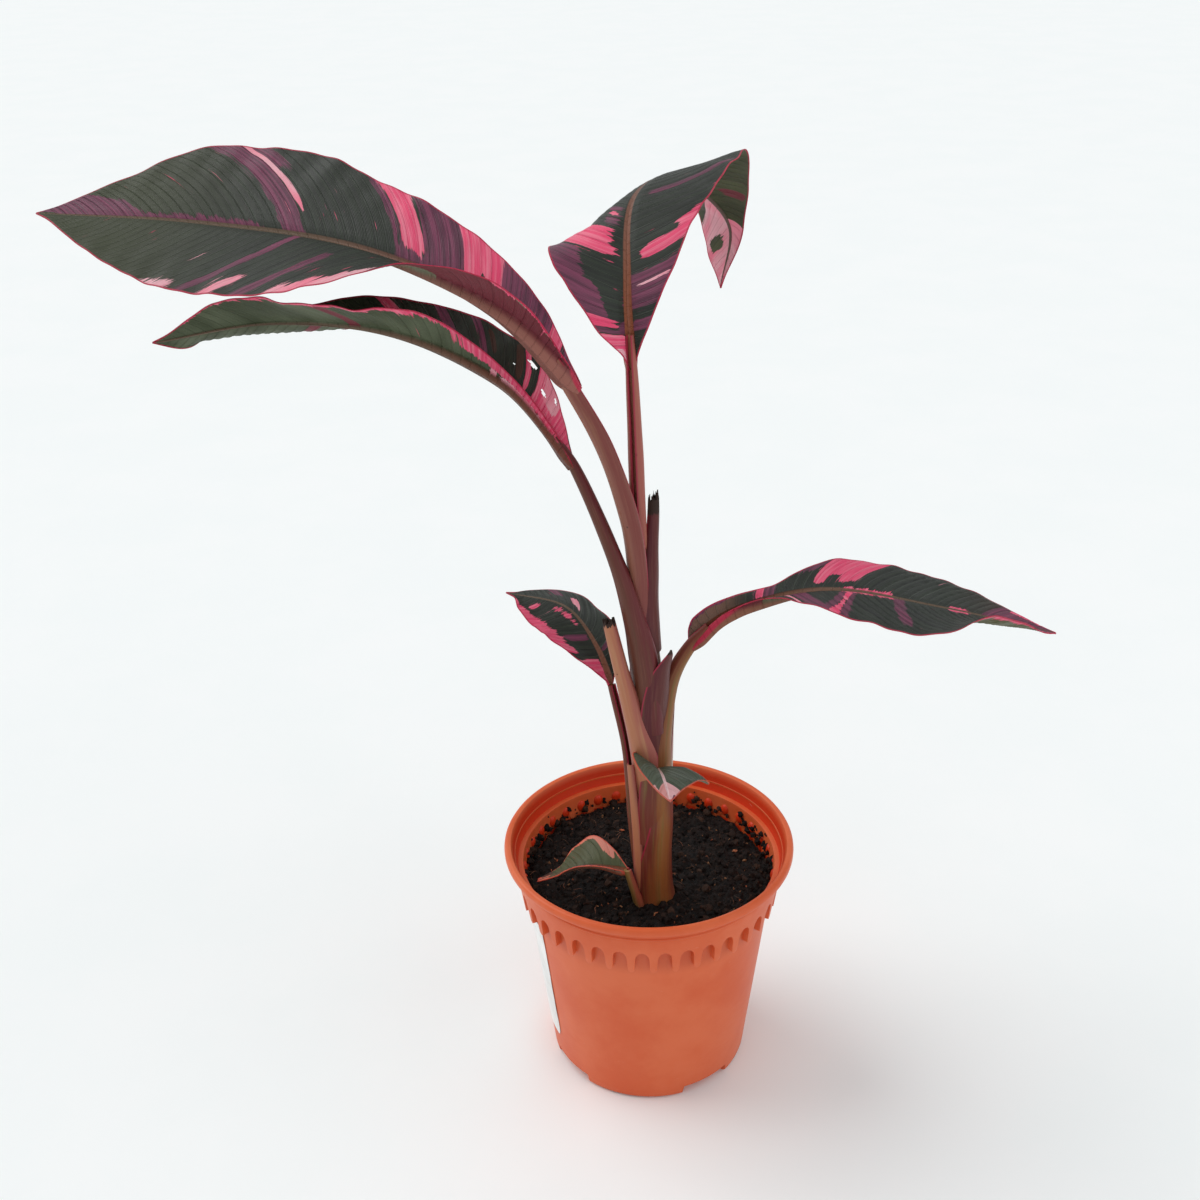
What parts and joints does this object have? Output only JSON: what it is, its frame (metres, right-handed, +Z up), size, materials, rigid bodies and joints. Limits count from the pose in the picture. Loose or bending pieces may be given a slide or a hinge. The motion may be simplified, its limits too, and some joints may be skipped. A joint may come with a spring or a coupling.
{
  "type": "potted variegated banana plant",
  "caption": "Young banana plant with arching pink and green variegated leaves on a sheathed stem, growing in a tapered plastic nursery pot.",
  "frame": {"origin": "centre of the pot's flat underside, on the surface that the pot stands on", "axes": "+Z up, -Y towards the front of the plant, +X to the right, where the longest single leaf points away to -X"},
  "size_m": [0.6023, 0.2322, 0.6386],
  "materials": {
    "pot_plastic": "satin",
    "label_paper": "satin",
    "compost": "matte",
    "sheath": "satin",
    "petiole": "satin",
    "dried_sheath": "matte",
    "blade": "satin"
  },
  "bodies": {
    "root": {"pot": "pot_plastic", "label": "label_paper", "compost": "compost", "pseudostem": "sheath", "petiole_top": "petiole", "petiole_upper_left": "petiole", "petiole_lower_left": "petiole", "petiole_right": "petiole", "petiole_back": "petiole", "petiole_front": "petiole", "petiole_low": "petiole", "cut_stump": "petiole", "dried_stub": "dried_sheath", "blade_upper_left": "blade", "blade_lower_left": "blade", "blade_top": "blade", "blade_top_tip": "blade", "blade_right": "blade", "blade_back": "blade", "blade_low": "blade", "blade_front": "blade"}
  },
  "joints": []
}
